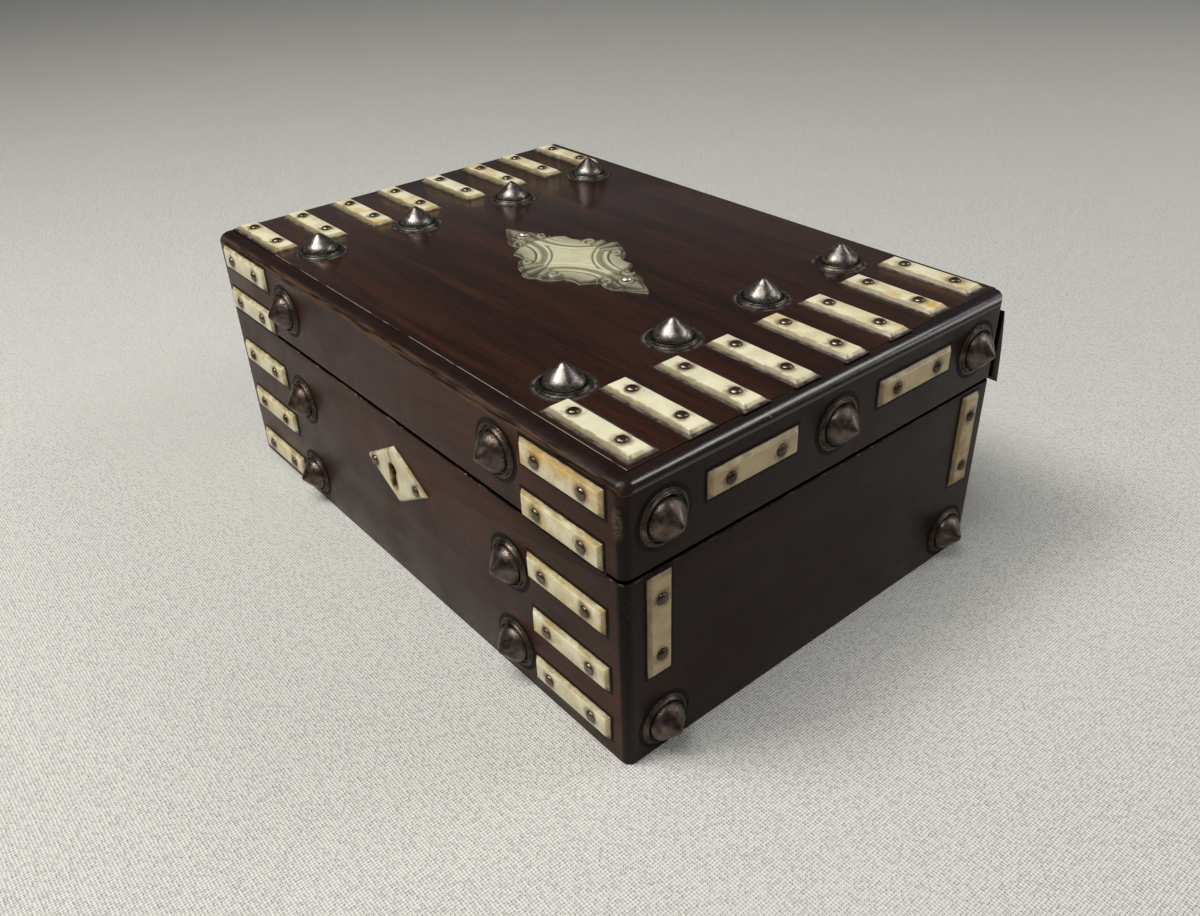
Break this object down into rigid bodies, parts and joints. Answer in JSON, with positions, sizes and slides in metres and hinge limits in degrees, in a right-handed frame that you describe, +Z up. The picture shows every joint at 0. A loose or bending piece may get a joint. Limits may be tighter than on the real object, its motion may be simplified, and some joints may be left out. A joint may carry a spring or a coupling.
{
  "type": "box",
  "caption": "Table box with a hinged lid: polished dark wood, rows of bevelled bone strips with domed pins, pointed steel studs, a carved bone lozenge on the lid and a box lock.",
  "frame": {"origin": "middle of the bounding box on the surface that the box stands on", "axes": "+X along the front to the right, +Y from the front with the keyhole to the hinged back, +Z up"},
  "size_m": [0.3076, 0.211, 0.1273],
  "materials": {
    "polished_rosewood": "french polished",
    "base_wood": "planed",
    "bone": "aged, waxed",
    "carved_bone": "carved, worn",
    "pin_steel": "polished, worn",
    "washer_steel": "aged",
    "stud_steel": "polished, pitted",
    "screw_steel": "aged",
    "hinge_brass": "aged",
    "lock_steel": "forged, aged"
  },
  "bodies": {
    "base": {"base_back_board": "polished_rosewood", "base_bottom_board": "base_wood", "base_front_board": "polished_rosewood", "base_front_pins": "pin_steel", "base_front_strips_left": "bone", "base_front_strips_right": "bone", "base_front_stud_cones": "stud_steel", "base_front_stud_washers": "washer_steel", "base_left_board": "polished_rosewood", "base_right_board": "polished_rosewood", "base_side_pins": "pin_steel", "base_side_strips_left": "bone", "base_side_strips_right": "bone", "base_side_stud_cones": "stud_steel", "base_side_stud_washers": "washer_steel", "escutcheon_pins": "pin_steel", "hinge_left_base_leaf": "hinge_brass", "hinge_left_pin": "hinge_brass", "hinge_right_base_leaf": "hinge_brass", "hinge_right_pin": "hinge_brass", "hinge_screws_base": "screw_steel", "keyhole_escutcheon": "bone", "lock_case": "lock_steel", "lock_drill_pin": "lock_steel", "lock_plate": "hinge_brass", "lock_screws": "screw_steel"},
    "lid": {"cartouche_pins": "pin_steel", "hinge_left_lid_leaf": "hinge_brass", "hinge_right_lid_leaf": "hinge_brass", "hinge_screws_lid": "screw_steel", "lid_back_rail": "polished_rosewood", "lid_cartouche": "carved_bone", "lid_front_moulding": "polished_rosewood", "lid_front_pins": "pin_steel", "lid_front_rail": "polished_rosewood", "lid_front_strips_left": "bone", "lid_front_strips_right": "bone", "lid_front_stud_cones": "stud_steel", "lid_front_stud_washers": "washer_steel", "lid_left_moulding": "polished_rosewood", "lid_left_rail": "polished_rosewood", "lid_right_moulding": "polished_rosewood", "lid_right_rail": "polished_rosewood", "lid_side_pins": "pin_steel", "lid_side_strips_left": "bone", "lid_side_strips_right": "bone", "lid_side_stud_cones": "stud_steel", "lid_side_stud_washers": "washer_steel", "lid_stop_strip": "polished_rosewood", "lid_top_panel": "polished_rosewood", "lid_top_pins": "pin_steel", "lid_top_strips_left": "bone", "lid_top_strips_right": "bone", "lid_top_stud_cones": "stud_steel", "lid_top_stud_washers": "washer_steel", "link_plate": "hinge_brass", "link_plate_screws": "screw_steel"},
    "lock_bolt": {"lock_bolt": "lock_steel"}
  },
  "joints": [
    {"name": "lid_hinge", "type": "hinge", "parent": "base", "child": "lid", "pos_m": [0, 0.10355, 0.0803], "axis": [-1, 0, 0], "range_deg": [0, 93]},
    {"name": "lock_bolt_slide", "type": "slide", "parent": "base", "child": "lock_bolt", "axis": [1, 0, 0], "range_m": [0, 0.0045]}
  ]
}
